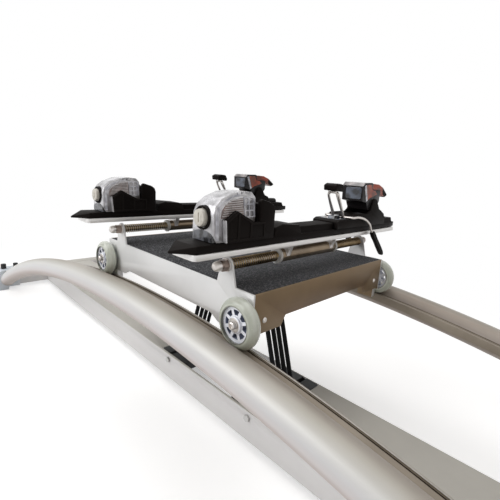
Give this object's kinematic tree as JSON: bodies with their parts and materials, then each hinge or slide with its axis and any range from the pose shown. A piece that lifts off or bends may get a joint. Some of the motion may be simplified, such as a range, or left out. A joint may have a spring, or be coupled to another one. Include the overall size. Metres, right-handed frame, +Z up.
{
  "type": "ski simulator",
  "caption": "Free-standing ski simulator: a wheeled carriage with sprung, edging ski bindings rolls side to side on arched rails against elastic cords.",
  "frame": {"origin": "centre of the overall footprint, on the floor", "axes": "+X along the rails, +Y from the toe side to the heel side of the skis, +Z up"},
  "size_m": [2.4806, 0.658, 0.547],
  "materials": {
    "rail_metal": "satin champagne anodised",
    "frame_paint": "satin light grey",
    "socket_plastic": "satin pale blue grey",
    "anchor_rubber": "matte black",
    "cord_elastic": "woven black sheath",
    "panel_sheet": "satin silver",
    "grit": "coarse grit",
    "bright_steel": "bright",
    "spring_steel": "yellow zinc",
    "tyre_urethane": "clear",
    "hub_plastic": "gloss white",
    "white_nylon": "white",
    "plate_metal": "satin silver white",
    "binding_black": "satin black",
    "binding_silver": "silver",
    "dial_cream": "cream",
    "binding_grey": "satin dark grey",
    "lever_orange": "orange red"
  },
  "bodies": {
    "base": {"rail_front": "rail_metal", "rail_back": "rail_metal", "base_spine": "frame_paint", "crossbar_left": "frame_paint", "crossbar_right": "frame_paint", "socket_front_left": "socket_plastic", "socket_back_left": "socket_plastic", "socket_front_right": "socket_plastic", "socket_back_right": "socket_plastic", "anchor_block_left": "anchor_rubber", "anchor_block_right": "anchor_rubber", "cord_left": "cord_elastic", "cord_right": "cord_elastic"},
    "carriage": {"panel_front": "panel_sheet", "panel_back": "panel_sheet", "panel_left": "panel_sheet", "panel_right": "panel_sheet", "deck_plate": "panel_sheet", "grip_mat": "grit", "cord_hanger": "panel_sheet", "wheel_axle_front_left": "bright_steel", "wheel_axle_back_left": "bright_steel", "wheel_axle_front_right": "bright_steel", "wheel_axle_back_right": "bright_steel", "ski_shaft_left": "bright_steel", "ski_shaft_right": "bright_steel", "spring_front_left": "spring_steel", "spring_back_left": "spring_steel", "spring_front_right": "spring_steel", "spring_back_right": "spring_steel"},
    "wheel_front_left": {"wheel_tyre_front_left": "tyre_urethane", "wheel_hub_front_left": "hub_plastic"},
    "wheel_back_left": {"wheel_tyre_back_left": "tyre_urethane", "wheel_hub_back_left": "hub_plastic"},
    "wheel_front_right": {"wheel_tyre_front_right": "tyre_urethane", "wheel_hub_front_right": "hub_plastic"},
    "wheel_back_right": {"wheel_tyre_back_right": "tyre_urethane", "wheel_hub_back_right": "hub_plastic"},
    "bush_left": {"slide_bush_left": "white_nylon"},
    "ski_left": {"ski_plate_left": "plate_metal", "binding_track_left": "binding_black"},
    "toe_left": {"toe_housing_left": "binding_silver", "toe_cup_left": "binding_black"},
    "dial_left": {"toe_dial_left": "dial_cream"},
    "heel_left": {"heel_housing_left": "binding_black"},
    "heel_head_left": {"heel_cup_left": "binding_grey"},
    "lever_left": {"heel_lever_left": "lever_orange"},
    "brake_left": {"brake_arms_left": "bright_steel", "brake_pedal_left": "binding_black"},
    "bush_right": {"slide_bush_right": "white_nylon"},
    "ski_right": {"ski_plate_right": "plate_metal", "binding_track_right": "binding_black"},
    "toe_right": {"toe_housing_right": "binding_silver", "toe_cup_right": "binding_black"},
    "dial_right": {"toe_dial_right": "dial_cream"},
    "heel_right": {"heel_housing_right": "binding_black"},
    "heel_head_right": {"heel_cup_right": "binding_grey"},
    "lever_right": {"heel_lever_right": "lever_orange"},
    "brake_right": {"brake_arms_right": "bright_steel", "brake_pedal_right": "binding_black"}
  },
  "joints": [
    {"name": "carriage_travel", "type": "hinge", "parent": "base", "child": "carriage", "pos_m": [0, -0.016, -2.49594], "axis": [0, 1, 0], "range_deg": [-16, 16], "stiffness_Nm_per_rad": 2500, "deforming": ["cord_left", "cord_right"]},
    {"name": "wheel_front_left_spin", "type": "hinge", "parent": "carriage", "child": "wheel_front_left", "pos_m": [-0.23, -0.2375, 0.33503], "axis": [0, 1, 0], "continuous": true},
    {"name": "wheel_back_left_spin", "type": "hinge", "parent": "carriage", "child": "wheel_back_left", "pos_m": [-0.23, 0.2055, 0.33503], "axis": [0, 1, 0], "continuous": true},
    {"name": "wheel_front_right_spin", "type": "hinge", "parent": "carriage", "child": "wheel_front_right", "pos_m": [0.23, -0.2375, 0.33503], "axis": [0, 1, 0], "continuous": true},
    {"name": "wheel_back_right_spin", "type": "hinge", "parent": "carriage", "child": "wheel_back_right", "pos_m": [0.23, 0.2055, 0.33503], "axis": [0, 1, 0], "continuous": true},
    {"name": "ski_slide_left", "type": "slide", "parent": "carriage", "child": "bush_left", "axis": [0, 1, 0], "range_m": [-0.02, 0.02], "stiffness_N_per_m": 4000, "deforming": ["spring_front_left", "spring_back_left"]},
    {"name": "ski_edging_left", "type": "hinge", "parent": "bush_left", "child": "ski_left", "pos_m": [-0.18, -0.016, 0.41103], "axis": [0, 1, 0], "range_deg": [-15, 15]},
    {"name": "toe_release_left", "type": "hinge", "parent": "ski_left", "child": "toe_left", "pos_m": [-0.18, -0.228, 0.45273], "axis": [0, 0, 1], "range_deg": [-18, 18], "stiffness_Nm_per_rad": 60},
    {"name": "toe_dial_turn_left", "type": "hinge", "parent": "toe_left", "child": "dial_left", "pos_m": [-0.18, -0.272, 0.48703], "axis": [0, 1, 0], "continuous": true},
    {"name": "heel_adjust_left", "type": "slide", "parent": "ski_left", "child": "heel_left", "axis": [0, 1, 0], "range_m": [-0.004, 0.02]},
    {"name": "heel_closing_left", "type": "hinge", "parent": "heel_left", "child": "heel_head_left", "pos_m": [-0.18, 0.189, 0.50003], "axis": [1, 0, 0], "range_deg": [0, 25]},
    {"name": "heel_lever_lift_left", "type": "hinge", "parent": "heel_head_left", "child": "lever_left", "pos_m": [-0.18, 0.184, 0.53853], "axis": [1, 0, 0], "range_deg": [0, 35]},
    {"name": "brake_press_left", "type": "hinge", "parent": "heel_left", "child": "brake_left", "pos_m": [-0.18, 0.088, 0.47383], "axis": [1, 0, 0], "range_deg": [0, 38], "stiffness_Nm_per_rad": 0.8, "springref_deg": -34.38},
    {"name": "ski_slide_right", "type": "slide", "parent": "carriage", "child": "bush_right", "axis": [0, 1, 0], "range_m": [-0.02, 0.02], "stiffness_N_per_m": 4000, "deforming": ["spring_front_right", "spring_back_right"]},
    {"name": "ski_edging_right", "type": "hinge", "parent": "bush_right", "child": "ski_right", "pos_m": [0.18, -0.016, 0.41103], "axis": [0, 1, 0], "range_deg": [-15, 15]},
    {"name": "toe_release_right", "type": "hinge", "parent": "ski_right", "child": "toe_right", "pos_m": [0.18, -0.228, 0.45273], "axis": [0, 0, 1], "range_deg": [-18, 18], "stiffness_Nm_per_rad": 60},
    {"name": "toe_dial_turn_right", "type": "hinge", "parent": "toe_right", "child": "dial_right", "pos_m": [0.18, -0.272, 0.48703], "axis": [0, 1, 0], "continuous": true},
    {"name": "heel_adjust_right", "type": "slide", "parent": "ski_right", "child": "heel_right", "axis": [0, 1, 0], "range_m": [-0.004, 0.02]},
    {"name": "heel_closing_right", "type": "hinge", "parent": "heel_right", "child": "heel_head_right", "pos_m": [0.18, 0.189, 0.50003], "axis": [1, 0, 0], "range_deg": [0, 25]},
    {"name": "heel_lever_lift_right", "type": "hinge", "parent": "heel_head_right", "child": "lever_right", "pos_m": [0.18, 0.184, 0.53853], "axis": [1, 0, 0], "range_deg": [0, 35]},
    {"name": "brake_press_right", "type": "hinge", "parent": "heel_right", "child": "brake_right", "pos_m": [0.18, 0.088, 0.47383], "axis": [1, 0, 0], "range_deg": [0, 38], "stiffness_Nm_per_rad": 0.8, "springref_deg": -34.38}
  ],
  "couplings": [
    {"joint": "wheel_front_left_spin", "follows": "carriage_travel", "ratio": 70},
    {"joint": "wheel_back_left_spin", "follows": "carriage_travel", "ratio": 70},
    {"joint": "wheel_front_right_spin", "follows": "carriage_travel", "ratio": 70},
    {"joint": "wheel_back_right_spin", "follows": "carriage_travel", "ratio": 70}
  ]
}
